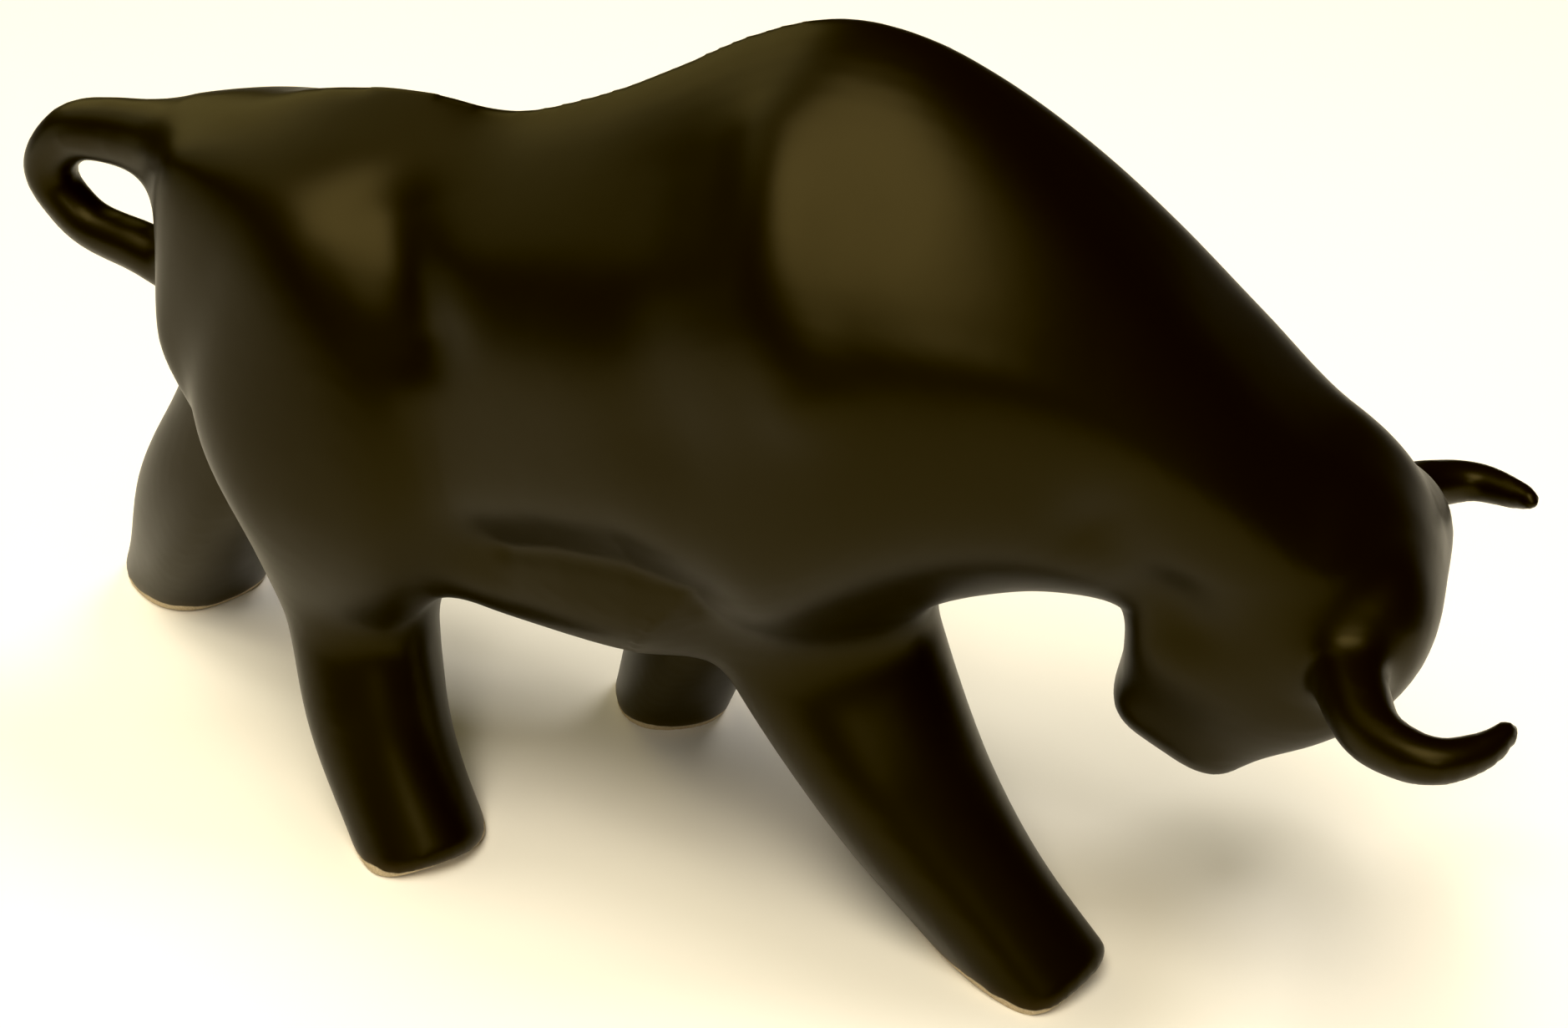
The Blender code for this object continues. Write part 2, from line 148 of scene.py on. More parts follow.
@dataclass
class Trunk:
    """Trunk and neck: upright rounded polygons down the length of the body.

    Each row holds x and z of a section's centre, the distances from it to the top, roof, wall,
    flank and floor, and the degrees by which the roof leans from upright.
    """

    rows: tuple[Row, ...] = (
        (-0.450, 0.400, 0.118, 0.118, 0.085, 0.118, 0.132, 46),
        (-0.400, 0.390, 0.145, 0.134, 0.092, 0.132, 0.162, 48),
        (-0.320, 0.380, 0.181, 0.144, 0.102, 0.150, 0.182, 50),
        (-0.270, 0.376, 0.198, 0.146, 0.111, 0.162, 0.188, 50),
        (-0.232, 0.375, 0.198, 0.147, 0.116, 0.173, 0.195, 50),
        (-0.190, 0.375, 0.185, 0.147, 0.121, 0.184, 0.201, 50),
        (-0.110, 0.375, 0.205, 0.160, 0.133, 0.194, 0.201, 48),
        (-0.050, 0.380, 0.229, 0.173, 0.143, 0.200, 0.201, 46),
        (0.000, 0.390, 0.243, 0.182, 0.152, 0.200, 0.206, 44),
        (0.050, 0.400, 0.245, 0.187, 0.158, 0.190, 0.206, 42),
        (0.107, 0.410, 0.229, 0.176, 0.159, 0.170, 0.184, 42),
        (0.161, 0.412, 0.198, 0.165, 0.150, 0.148, 0.152, 43),
        (0.215, 0.410, 0.160, 0.149, 0.136, 0.132, 0.120, 45),
        (0.270, 0.400, 0.122, 0.128, 0.121, 0.120, 0.102, 47),
        (0.326, 0.384, 0.084, 0.104, 0.110, 0.105, 0.090, 50),
        (0.385, 0.355, 0.066, 0.083, 0.099, 0.094, 0.084, 52),
        (0.470, 0.320, 0.068, 0.075, 0.084, 0.082, 0.074, 55),
    )
    caps: tuple[float, float] = (0.110, 0.075)
    corner: float = 12.0

    def surface(self, count: int = 160, sides: int = 96) -> Surface:
        """The trunk as rings.

        With u the turn from straight up and f_k, d_k the facing and distance of each side,
        the radius is r(u) = (sum_k max(cos(|u| - f_k) / d_k, 0)^p)^(-1/p), p the corner.

        Args:
            count: Number of rings.
            sides: Points on each ring.

        Returns:
            The closed form.
        """
        rows = through([(x, 0, 0, *rest) for x, *rest in self.rows], count)
        x, height, distances = rows[:, 0], rows[:, 3], rows[:, 4:9]
        level = np.ones(count)
        facing = np.stack([0 * level, 90 - rows[:, 9], 90 * level, 135 * level, 180 * level], 1)
        turn = np.linspace(-math.pi, math.pi, sides, endpoint=False)
        lean = np.abs(turn)[None, :, None] - np.radians(facing)[:, None]
        reach = np.maximum(np.cos(lean) / distances[:, None], 0.0)
        radius = (reach**self.corner).sum(axis=2) ** (-1.0 / self.corner)
        radius *= rounded(x - x[0], self.caps)[:, None]
        across = radius * np.sin(turn)
        upwards = height[:, None] + radius * np.cos(turn)
        rings = np.stack([np.broadcast_to(x[:, None], across.shape), across, upwards], axis=-1)
        return Surface("trunk", np.stack([x, 0 * x, height], axis=1), rings)


def sweep(
    name: str,
    rows: list[Row] | np.ndarray,
    caps: tuple[float, float],
    corner: float = 2.0,
    swing: tuple[float, float] = (0.0, 0.0),
    count: int = 90,
    sides: int = 56,
) -> Surface:
    """A closed form along a line in space.

    Each section is a superellipse square to the line: width |cos u|^(2/n) and depth
    |sin u|^(2/n) with their signs, n the corner.  It is swung round the line from one angle
    to the other.  Its width lies along Y, or along Z for a form that itself runs along Y.

    Args:
        name: What the form is.
        rows: Place, half width and half depth.
        caps: Lengths of the rounded ends.
        corner: Exponent of the superellipse.
        swing: Turn of the section at the two ends, in radians.
        count: Number of rings.
        sides: Points on each ring.

    Returns:
        The closed form.
    """
    rows = through(rows, count)
    centres, wide, deep = rows[:, :3], rows[:, 3:4], rows[:, 4:5]
    along = np.gradient(centres, axis=0)
    along /= np.linalg.norm(along, axis=1)[:, None]
    steps = np.linalg.norm(np.diff(centres, axis=0), axis=1)
    end = rounded(np.concatenate([[0.0], np.cumsum(steps)]), caps)[:, None]
    runs_sideways = np.abs(along[:, 1]).max() > SIDEWAYS
    guide = np.array([0.0, 0.0, 1.0]) if runs_sideways else np.array([0.0, 1.0, 0.0])
    across = guide - (along @ guide)[:, None] * along
    across /= np.linalg.norm(across, axis=1)[:, None]
    upright = np.cross(along, across)
    angle = np.linspace(*swing, count)[:, None]
    width_axis = across * np.cos(angle) + upright * np.sin(angle)
    depth_axis = upright * np.cos(angle) - across * np.sin(angle)
    turn = np.linspace(0.0, math.tau, sides, endpoint=False)
    share_wide = np.sign(np.cos(turn)) * np.abs(np.cos(turn)) ** (2 / corner)
    share_deep = np.sign(np.sin(turn)) * np.abs(np.sin(turn)) ** (2 / corner)
    rings = centres[:, None] + (share_wide * wide * end)[..., None] * width_axis[:, None]
    rings = rings + (share_deep * deep * end)[..., None] * depth_axis[:, None]
    return Surface(name, centres, rings)


@dataclass
class Haunches:
    """The two haunches: blocks bounded by rounded flats, whose crest shows over the thighs.

    Each flat is its outward direction (x, away from the middle, z) and its distance from the
    middle of the block.
    """

    middle: Row = (-0.290, 0.050, 0.420)
    flats: dict[str, Row] = field(
        default_factory=lambda: {
            "outer": (-0.150, 0.980, 0.080, 0.055),
            "roof": (0.300, 0.640, 0.710, 0.084),
            "top": (0.000, 0.200, 0.980, 0.108),
            "rear": (-0.880, 0.450, 0.150, 0.136),
            "back of thigh": (-0.800, 0.350, -0.500, 0.152),
            "front": (0.900, 0.300, -0.300, 0.110),
            "under": (0.000, 0.550, -0.830, 0.190),
            "inner": (0.000, -1.000, 0.000, 0.050),
        }
    )
    corner: float = 20.0

    def surface(self, side: int, count: int = 90, sides: int = 120) -> Surface:
        """One haunch as rings from its lowest to its highest point.

        Towards the unit direction v the skin lies at (sum_k max(n_k . v / d_k, 0)^p)^(-1/p)
        from the middle, with n_k and d_k the flats and p the corner.

        Args:
            side: -1 for the right haunch, 1 for the left.
            count: Number of rings.
            sides: Points on each ring.

        Returns:
            The closed form.
        """
        flats = np.array(list(self.flats.values()))
        facing = flats[:, :3] / np.linalg.norm(flats[:, :3], axis=1)[:, None]
        tilt = np.linspace(-math.pi / 2, math.pi / 2, count)[:, None]
        turn = np.linspace(0.0, math.tau, sides, endpoint=False)[None]
        level = np.cos(tilt)
        rises = np.broadcast_to(np.sin(tilt), (count, sides))
        ways = np.stack([level * np.cos(turn), level * np.sin(turn), rises], axis=-1)
        reach = np.maximum(ways @ facing.T / flats[:, 3], 0.0)
        radius = (reach**self.corner).sum(axis=-1) ** (-1.0 / self.corner)
        rings = (ways * radius[..., None] + self.middle) * (1, side, 1)
        centres = rings.mean(axis=1)
        return Surface("haunch", centres, rings)


@dataclass
class Head:
    """The head, hanging from the poll down and back to the muzzle, with its two horns."""

    rows: tuple[Row, ...] = (
        (0.400, 0.395, 0.086, 0.066),
        (0.380, 0.325, 0.100, 0.092),
        (0.350, 0.265, 0.094, 0.080),
        (0.326, 0.215, 0.073, 0.057),
        (0.300, 0.166, 0.058, 0.044),
    )
    caps: tuple[float, float] = (0.050, 0.040)
    corner: float = 4.5
    horn: tuple[Row, ...] = (
        (0.414, 0.060, 0.312, 0.025),
        (0.426, 0.114, 0.306, 0.0220),
        (0.448, 0.154, 0.302, 0.0178),
        (0.478, 0.166, 0.304, 0.0142),
        (0.506, 0.150, 0.309, 0.0105),
        (0.520, 0.130, 0.316, 0.0055),
    )
    horn_caps: tuple[float, float] = (0.020, 0.008)

    def surfaces(self) -> list[Surface]:
        """The head and the horns, each horn round in section and curving in to its tip.

        Returns:
            The head, the right horn and the left horn.
        """
        skull = [(x, 0.0, z, wide, deep) for x, z, wide, deep in self.rows]
        made = [sweep("head", skull, self.caps, self.corner)]
        for side in (-1, 1):
            line = [(x, side * y, z, radius, radius) for x, y, z, radius in self.horn]
            made.append(sweep("horn", line, self.horn_caps))
        return made


class Limb(Enum):
    """Which leg a leg is."""

    RIGHT_HIND = "right hind leg"
    LEFT_HIND = "left hind leg"
    RIGHT_FORE = "right fore leg"
    LEFT_FORE = "left fore leg"

    @property
    def is_hind(self) -> bool:
        """Whether the leg is one of the hind pair."""
        return self in (Limb.RIGHT_HIND, Limb.LEFT_HIND)


@dataclass
class Legs:
    """Four legs, each with its thigh or shoulder, tapering to a flat foot.

    A row of hind or fore holds the share of the way down, half the length fore and aft, and
    half the width.  A line's row is a place on the leg's middle line, from hip to below the
    table.  The turns are the degrees by which a section is swung at the hip and at the foot.
    """

    hind: tuple[Row, ...] = (
        (0.00, 0.050, 0.040),
        (0.13, 0.088, 0.048),
        (0.28, 0.108, 0.058),
        (0.42, 0.092, 0.062),
        (0.62, 0.057, 0.056),
        (0.76, 0.052, 0.052),
        (0.90, 0.048, 0.049),
        (1.00, 0.049, 0.049),
    )
    fore: tuple[Row, ...] = (
        (0.00, 0.080, 0.040),
        (0.30, 0.090, 0.054),
        (0.52, 0.078, 0.058),
        (0.72, 0.060, 0.054),
        (0.88, 0.048, 0.050),
        (1.00, 0.047, 0.048),
    )
    caps: tuple[float, float] = (0.060, 0.012)
    corner: float = 2.5
    hind_turn: tuple[float, float] = (-18.0, 30.0)
    fore_turn: tuple[float, float] = (0.0, 60.0)
    rings: int = 90
    girth_places: int = 300
    girth: dict[Limb, float] = field(
        default_factory=lambda: {
            Limb.RIGHT_HIND: 1.00,
            Limb.LEFT_HIND: 1.20,
            Limb.RIGHT_FORE: 1.00,
            Limb.LEFT_FORE: 0.95,
        }
    )
    lines: dict[Limb, tuple[Row, ...]] = field(
        default_factory=lambda: {
            Limb.RIGHT_HIND: (
                (-0.365, -0.040, 0.500),
                (-0.335, -0.060, 0.445),
                (-0.304, -0.076, 0.372),
                (-0.284, -0.084, 0.290),
                (-0.304, -0.056, 0.168),
                (-0.281, -0.088, 0.082),
                (-0.220, -0.134, -0.020),
            ),
            Limb.LEFT_HIND: (
                (-0.365, 0.040, 0.500),
                (-0.340, 0.060, 0.445),
                (-0.330, 0.076, 0.372),
                (-0.400, 0.084, 0.280),
                (-0.515, 0.090, 0.160),
                (-0.624, 0.142, -0.020),
            ),
            Limb.RIGHT_FORE: (
                (0.055, -0.080, 0.500),
                (0.046, -0.074, 0.330),
                (0.060, -0.030, 0.218),
                (0.134, -0.060, 0.110),
                (0.266, -0.102, -0.020),
            ),
            Limb.LEFT_FORE: (
                (0.055, 0.080, 0.500),
                (0.040, 0.078, 0.330),
                (-0.016, 0.060, 0.220),
                (-0.080, 0.078, 0.108),
                (-0.130, 0.114, -0.020),
            ),
        }
    )

    def surfaces(self) -> list[Surface]:
        """Each leg: its girth read at even shares of the way down, swept down its line.

        Returns:
            The four legs.
        """
        made = []
        down = np.linspace(0.0, 1.0, self.rings)
        for limb, line in self.lines.items():
            middle = through(line, self.rings)
            rows = self.hind if limb.is_hind else self.fore
            girths = [(share, 0, 0, deep, wide) for share, deep, wide in rows]
            sizes = through(girths, self.girth_places)
            deep = np.interp(down, sizes[:, 0], sizes[:, 3]) * self.girth[limb]
            wide = np.interp(down, sizes[:, 0], sizes[:, 4]) * self.girth[limb]
            side = -1 if line[0][1] < 0 else 1
            turn = self.hind_turn if limb.is_hind else self.fore_turn
            swing = tuple(side * math.radians(angle) for angle in turn)
            sections = np.concatenate([middle, wide[:, None], deep[:, None]], axis=1)
            made.append(sweep(limb.value, sections, self.caps, self.corner, swing, self.rings))
        return made


@dataclass
class Tail:
    """The tail, from the croup out, down and round to the back of the haunches."""

    rows: tuple[Row, ...] = (
        (-0.250, 0.450, 0.080, 0.088),
        (-0.320, 0.460, 0.080, 0.088),
        (-0.380, 0.474, 0.064, 0.072),
        (-0.432, 0.488, 0.043, 0.049),
        (-0.488, 0.496, 0.0275, 0.030),
        (-0.541, 0.488, 0.021, 0.023),
        (-0.567, 0.457, 0.018, 0.020),
        (-0.547, 0.423, 0.018, 0.019),
        (-0.490, 0.402, 0.020, 0.021),
        (-0.410, 0.370, 0.025, 0.027),
    )
    caps: tuple[float, float] = (0.030, 0.020)

    def surface(self) -> Surface:
        """The tail as one round form in the middle plane."""
        line = [(x, 0.0, z, wide, tall) for x, z, tall, wide in self.rows]
        return sweep("tail", line, self.caps)


def from_path(place: np.ndarray, path: tuple[Row, ...]) -> tuple[np.ndarray, np.ndarray]:
    """Measures places from the nearest point of a path of straight runs.

    Args:
        place: Places with |y|, so that a path on one side counts on both.
        path: The path's points.

    Returns:
        Each place's distance from the path, and its height over that nearest point.
    """
    nearest = np.full(len(place), np.inf)
    over = np.zeros(len(place))
    for start, end in zip(path, path[1:]):
        run = np.subtract(end, start)
        along = np.clip((place - start) @ run / (run @ run), 0.0, 1.0)
        offset = place - start - along[:, None] * run
        away = np.linalg.norm(offset, axis=1)
        over = np.where(away < nearest, offset[:, 2], over)
        nearest = np.minimum(away, nearest)
    return nearest, over


@dataclass(frozen=True)
class Touch:
    """One stroke of the modelling thumb along a path, made on both sides.

    Its height falls off as rise * exp(-(distance / reach)^2), with a reach of its own below
    the path where that is given.  In between, the reach follows the direction.
    """

    path: tuple[Row, ...]
    reach: float
    rise: float
    reach_below: float = 0.0

    def height(self, place: np.ndarray) -> np.ndarray:
        """Height of the stroke, measured along the surface's normal.

        Args:
            place: Places with |y|.

        Returns:
            One height for each place, below nought for a hollow.
        """
        away, over = from_path(place, self.path)
        below = self.reach_below or self.reach
        upwards = 0.5 + 0.5 * over / np.maximum(away, TINY)
        reach = below + (self.reach - below) * upwards
        return self.rise * np.exp(-((away / reach) ** 2))


@dataclass(frozen=True)
class Smoothing:
    """One place rubbed smooth with a wet finger along a path, on both sides."""

    path: tuple[Row, ...]
    reach: float

    def strength(self, place: np.ndarray) -> np.ndarray:
        """Strength from 0 to 1 at places given with |y|: exp(-(distance / reach)^2)."""
        away, _ = from_path(place, self.path)
        return np.exp(-((away / self.reach) ** 2))


def linked(name: str, data: bpy.types.ID) -> bpy.types.Object:
    """Puts an object into the scene, at the origin.

    Args:
        name: The object's name.
        data: The mesh, light or camera that it holds.

    Returns:
        The object.
    """
    made = bpy.data.objects.new(name, data)
    bpy.context.scene.collection.objects.link(made)
    return made


@dataclass
class Clay:
    """The skin that welds the forms, with its inner corners filled and its feet cut level.

    Lengths are metres.  A filling or rubbing pass moves a vertex by the step share of its
    way, and the normals are read anew after a few filling passes.  A smoothing draws the skin
    in by the shrink share and lets it out again by the swell share.
    """

    cell: float = 0.00136
    fill_radius: float = 0.010
    rub_radius: float = 0.010
    step_share: float = 0.5
    passes_per_normal: int = 6
    smoothings: int = 8
    shrink: float = 0.50
    swell: float = 0.52
    sole_height: float = 0.0030
    sole_inset: float = 0.0010
    cut_margin: float = 1e-6

    def weld(self, surfaces: list[Surface], scale: float) -> bpy.types.Mesh:
        """Joins the closed forms into one skin by a voxel remesh.

        Args:
            surfaces: The overlapping forms, in shares of the body's length.
            scale: The body's length in metres.

        Returns:
            The welded mesh.
        """
        points, quads, corners, total = [], [], [], 0
        for surface in surfaces:
            LOG.info("%s: %d rings of %d points", surface.name, *surface.rings.shape[:2])
            four, three = surface.faces()
            points.append(surface.points() * scale)
            quads.append(four + total)
            corners.append(three + total)
            total += len(points[-1])
        mesh = bpy.data.meshes.new("forms")
        faces = np.concatenate(quads).tolist() + np.concatenate(corners).tolist()
        mesh.from_pydata(np.concatenate(points).tolist(), [], faces)
        body = bmesh.new()
        body.from_mesh(mesh)
        bmesh.ops.recalc_face_normals(body, faces=body.faces)
        body.to_mesh(mesh)
        body.free()
        return self.modified(mesh, "REMESH", mode="VOXEL", voxel_size=self.cell)

    def modified(self, mesh: bpy.types.Mesh, kind: str, **settings: object) -> bpy.types.Mesh:
        """Passes a mesh through one modifier.

        Args:
            mesh: The mesh that goes in, which is removed.
            kind: The modifier's type.
            settings: The modifier's settings.

        Returns:
            The mesh that comes out.
        """
        holder = linked("holder", mesh)
        modifier = holder.modifiers.new("step", kind)
        for setting, value in settings.items():
            setattr(modifier, setting, value)
        graph = bpy.context.evaluated_depsgraph_get()
        result = bpy.data.meshes.new_from_object(holder.evaluated_get(graph))
        bpy.data.objects.remove(holder)
        bpy.data.meshes.remove(mesh)
        return result

    def read(self, mesh: bpy.types.Mesh, name: str) -> np.ndarray:
        """Reads one three-number field of the mesh's vertices.

        Args:
            mesh: The mesh.
            name: The field, "co" for the places or "normal" for the normals.

        Returns:
            One row for each vertex.
        """
        values = np.empty(len(mesh.vertices) * 3, np.float32)
        mesh.vertices.foreach_get(name, values)
        return values.reshape(-1, 3).astype(float)

    def move(self, mesh: bpy.types.Mesh, points: np.ndarray) -> None:
        """Puts the mesh's vertices at new places."""
        mesh.vertices.foreach_set("co", points.astype(np.float32).ravel())
        mesh.update()

    def pull(self, mesh: bpy.types.Mesh) -> Callable[[np.ndarray], np.ndarray]:
        """The way that every vertex is drawn by its neighbours.

        Args:
            mesh: The mesh whose edges join the neighbours.

        Returns:
            A function of the vertices' places that gives, for each, the way to its
            neighbours' middle.
        """
        edges = np.empty(len(mesh.edges) * 2, np.int32)
        mesh.edges.foreach_get("vertices", edges)
        edges = edges.reshape(-1, 2)
        ends = np.concatenate([edges, edges[:, ::-1]])
        total = len(mesh.vertices)
        count = np.bincount(ends[:, 0], minlength=total)[:, None]

        def way(points: np.ndarray) -> np.ndarray:
            """From each vertex to the middle of its neighbours."""
            far = points[ends[:, 1]]
            sums = [np.bincount(ends[:, 0], far[:, axis], total) for axis in range(3)]
            return np.stack(sums, axis=1) / count - points

        return way

    def fill(self, mesh: bpy.types.Mesh) -> None:
        """Fills the inner corners, then smooths the skin without shrinking it.

        A vertex p with normal n and neighbours' middle m moves by the step share of
        max((m - p) . n, 0) n, about 2 (radius / cell)^2 times, which fills a corner as far as
        the radius.  A smoothing is p += shrink (m - p) and then p -= swell (m - p).

        Args:
            mesh: The welded skin.
        """
        points = self.read(mesh, "co")
        way = self.pull(mesh)
        for step in range(int(2 * (self.fill_radius / self.cell) ** 2)):
            if step % self.passes_per_normal == 0:
                self.move(mesh, points)
                normals = self.read(mesh, "normal")
            outward = np.maximum((way(points) * normals).sum(axis=1), 0.0)
            points += self.step_share * outward[:, None] * normals
        for _ in range(self.smoothings):
            points += self.shrink * way(points)
            points -= self.swell * way(points)
        self.move(mesh, points)

    def rub(self, mesh: bpy.types.Mesh, strength: np.ndarray) -> None:
        """Rubs the skin smooth where the strength is high.

        Each of about 4 (radius / cell)^2 passes moves a vertex p by the step share of
        strength (m - p), with m its neighbours' middle, which blurs the shape over the
        rubbing radius.

        Args:
            mesh: The filled skin.
            strength: From 0 to 1 for each vertex.
        """
        points = self.read(mesh, "co")
        way = self.pull(mesh)
        for _ in range(int(4 * (self.rub_radius / self.cell) ** 2)):
            points += self.step_share * strength[:, None] * way(points)
        self.move(mesh, points)

    def round_soles(self, mesh: bpy.types.Mesh) -> None:
        """Draws the lowest few millimetres of each foot in, as a quarter ellipse.

        At the height z the skin goes in by inset (1 - sqrt(1 - (1 - z / height)^2)).

        Args:
            mesh: The skin, before its feet are cut.
        """
        points = self.read(mesh, "co")
        level = self.read(mesh, "normal")[:, :2]
        level /= np.linalg.norm(level, axis=1)[:, None] + TINY
        low = np.clip(1 - points[:, 2] / self.sole_height, 0.0, 1.0)
        inset = self.sole_inset * (1 - np.sqrt(1 - low**2))
        points[:, :2] -= inset[:, None] * level
        self.move(mesh, points)

    def cut_feet(self, mesh: bpy.types.Mesh) -> None:
        """Cuts the legs off level at the table and closes the four soles.

        Args:
            mesh: The skin, whose legs reach below the table.
        """
        body = bmesh.new()
        body.from_mesh(mesh)
        everything = body.verts[:] + body.edges[:] + body.faces[:]
        cut = bmesh.ops.bisect_plane(
            body,
            geom=everything,
            dist=self.cut_margin,
            plane_co=(0, 0, 0),
            plane_no=(0, 0, -1),
            clear_outer=True,
        )
        rim = [part for part in cut["geom_cut"] if isinstance(part, bmesh.types.BMEdge)]
        for vert in {vert for edge in rim for vert in edge.verts}:
            vert.co.z = 0.0
        bmesh.ops.edgenet_fill(body, edges=rim)
        bmesh.ops.recalc_face_normals(body, faces=body.faces)
        body.to_mesh(mesh)
        body.free()


@dataclass(frozen=True)
class Value:
    """A number socket on which Python's own operators add Math nodes."""

    nodes: "Nodes"
    socket: bpy.types.NodeSocket

    def math(self, operation: str, first: object, second: object) -> "Value":
        """One Math node over two numbers or sockets."""
        made = self.nodes.add("ShaderNodeMath", {"operation": operation}, {0: first, 1: second})
        return Value(self.nodes, made.outputs[0])

    def __add__(self, other: object) -> "Value":
        """This plus other."""
        return self.math("ADD", self, other)

    __radd__ = __add__

    def __sub__(self, other: object) -> "Value":
        """This minus other."""
        return self.math("SUBTRACT", self, other)

    def __rsub__(self, other: object) -> "Value":
        """Other minus this."""
        return self.math("SUBTRACT", other, self)

    def __mul__(self, other: object) -> "Value":
        """This times other."""
        return self.math("MULTIPLY", self, other)

    __rmul__ = __mul__

    def __truediv__(self, other: object) -> "Value":
        """This over other."""
        return self.math("DIVIDE", self, other)

    def __rtruediv__(self, other: object) -> "Value":
        """Other over this."""
        return self.math("DIVIDE", other, self)

    def clamped(self) -> "Value":
        """This, held between 0 and 1."""
        return self.math("MINIMUM", self.math("MAXIMUM", self, 0.0), 1.0)


class Nodes:
    """A material's node tree, with one way to add a node."""

    def __init__(self, name: str) -> None:
        """Starts an empty node material.

        Args:
            name: The material's name.
        """
        self.material = bpy.data.materials.new(name)
        self.material.use_nodes = True
        self.tree = self.material.node_tree
        self.shader = self.tree.nodes["Principled BSDF"]

    def add(
        self, kind: str, settings: dict[str, object], values: dict[str | int, object]
    ) -> bpy.types.Node:
        """Adds one node.

        Args:
            kind: The node's type.
            settings: Its settings, which are set first.
            values: What goes into its sockets, numbers, colours or links, by name or number.

        Returns:
            The node.
        """
        node = self.tree.nodes.new(kind)
        for setting, value in settings.items():
            setattr(node, setting, value)
        for key, value in values.items():
            self.feed(node.inputs[key], value)
        return node

    def feed(self, socket: bpy.types.NodeSocket, value: object) -> None:
        """Links or sets one socket.

        Args:
            socket: The socket of a node that takes the value.
            value: A number, a colour, a socket or a wrapped socket.
        """
        if isinstance(value, Value):
            value = value.socket
        if isinstance(value, bpy.types.NodeSocket):
            self.tree.links.new(value, socket)
        else:
            socket.default_value = value

    def noise(self, place: bpy.types.NodeSocket, scale: float, detail: float = 2.0) -> Value:
        """Soft noise from 0 to 1 round 0.5, at a scale per metre."""
        values = {"Vector": place, "Scale": scale, "Detail": detail}
        return Value(self, self.add("ShaderNodeTexNoise", {}, values).outputs["Fac"])

    def mixed(
        self, share: Value, first: Row | bpy.types.NodeSocket, second: Row | bpy.types.NodeSocket
    ) -> bpy.types.NodeSocket:
        """A colour between two colours.

        Args:
            share: 0 for the first colour and 1 for the second.
            first: Three numbers or a colour's socket.
            second: Three numbers or a colour's socket.

        Returns:
            The mixed colour's socket.
        """
        values = {"Factor": share}
        for key, colour in {MIX_FIRST: first, MIX_SECOND: second}.items():
            values[key] = (*colour, 1.0) if isinstance(colour, tuple) else colour
        return self.add("ShaderNodeMix", {"data_type": "RGBA"}, values).outputs[MIX_RESULT]

    def finish(self, looks: dict[str, object]) -> bpy.types.Material:
        """Feeds the surface's shader.

        Args:
            looks: Values or links by the names of the shader's sockets.

        Returns:
            The finished material.
        """
        for name, value in looks.items():
            self.feed(self.shader.inputs[name], value)
        return self.material


@dataclass(frozen=True)
class BlackGlaze:
    """Satin black glaze over pale clay, which is left bare at the rims of the soles.

    The glaze ends at a wavy line a little above the table, and is browner just over it, where
    it is thin.  Scales are per metre, and heights and widths are metres.  The bump's three
    parts are the glaze's slow ripple, its specks and the step at its lower edge.
    """

    glaze: Row = (0.0016, 0.0009, 0.0006)
    thin_glaze: Row = (0.016, 0.010, 0.005)
    gloss: float = 0.68
    bend: float = 1.22
    gloss_tint: Row = (1.0, 0.82, 0.34)
    roughness: float = 0.38
    cloud_scale: float = 38.0
    cloud_detail: float = 3.0
    cloud_depth: float = 0.06
    clay: Row = (0.66, 0.56, 0.40)
    dark_clay: Row = (0.38, 0.30, 0.19)
    clay_roughness: float = 0.85
    line_height: float = 0.0024
    line_wave: float = 0.0020
    line_width: float = 0.0004
    wave_scale: float = 90.0
    thin_band: float = 0.0030
    speck_scale: float = 2200.0
    speck_contrast: float = 1.6
    ripple_scale: float = 70.0
    speck_height: float = 0.012
    edge_height: float = 0.5
    bump_strength: float = 0.25
    bump_distance: float = 0.0004

    def material(self) -> bpy.types.Material:
        """The glaze over its clay, worked out from the places on the figure.

        Returns:
            The finished material.
        """
        nodes = Nodes("black glaze over clay")
        place = nodes.add("ShaderNodeTexCoord", {}, {}).outputs["Object"]
        split = nodes.add("ShaderNodeSeparateXYZ", {}, {0: place})
        height = Value(nodes, split.outputs["Z"])
        wave = (nodes.noise(place, self.wave_scale) - 0.5) * self.line_wave * 2
        over = height - self.line_height + wave
        glazed = (over / self.line_width + 0.5).clamped()
        thick = (over / self.thin_band).clamped()
        speck = nodes.noise(place, self.speck_scale)
        cloud = nodes.noise(place, self.cloud_scale, self.cloud_detail)
        ripple = nodes.noise(place, self.ripple_scale)
        speckled = ((speck - 0.5) * self.speck_contrast + 0.5).clamped()
        glaze = nodes.mixed(thick, self.thin_glaze, self.glaze)
        clay = nodes.mixed(speckled, self.dark_clay, self.clay)
        satin = (cloud - 0.5) * self.cloud_depth + self.roughness
        relief = ripple + speck * self.speck_height + glazed * self.edge_height
        bump = {"Strength": self.bump_strength, "Distance": self.bump_distance, "Height": relief}
        return nodes.finish(
            {
                "Base Color": nodes.mixed(glazed, clay, glaze),
                "Roughness": self.clay_roughness + glazed * (satin - self.clay_roughness),
                "Specular IOR Level": self.gloss,
                "IOR": self.bend,
                "Specular Tint": (*self.gloss_tint, 1.0),
                "Normal": nodes.add("ShaderNodeBump", {}, bump).outputs["Normal"],
            }
        )


@dataclass(frozen=True)
class PaleTable:
    """A matt pale table top."""

    colour: Row = (0.86, 0.85, 0.82)
    roughness: float = 0.9

    def material(self) -> bpy.types.Material:
        """One even matt colour."""
        looks = {"Base Color": (*self.colour, 1.0), "Roughness": self.roughness}
        return Nodes("pale table").finish(looks)


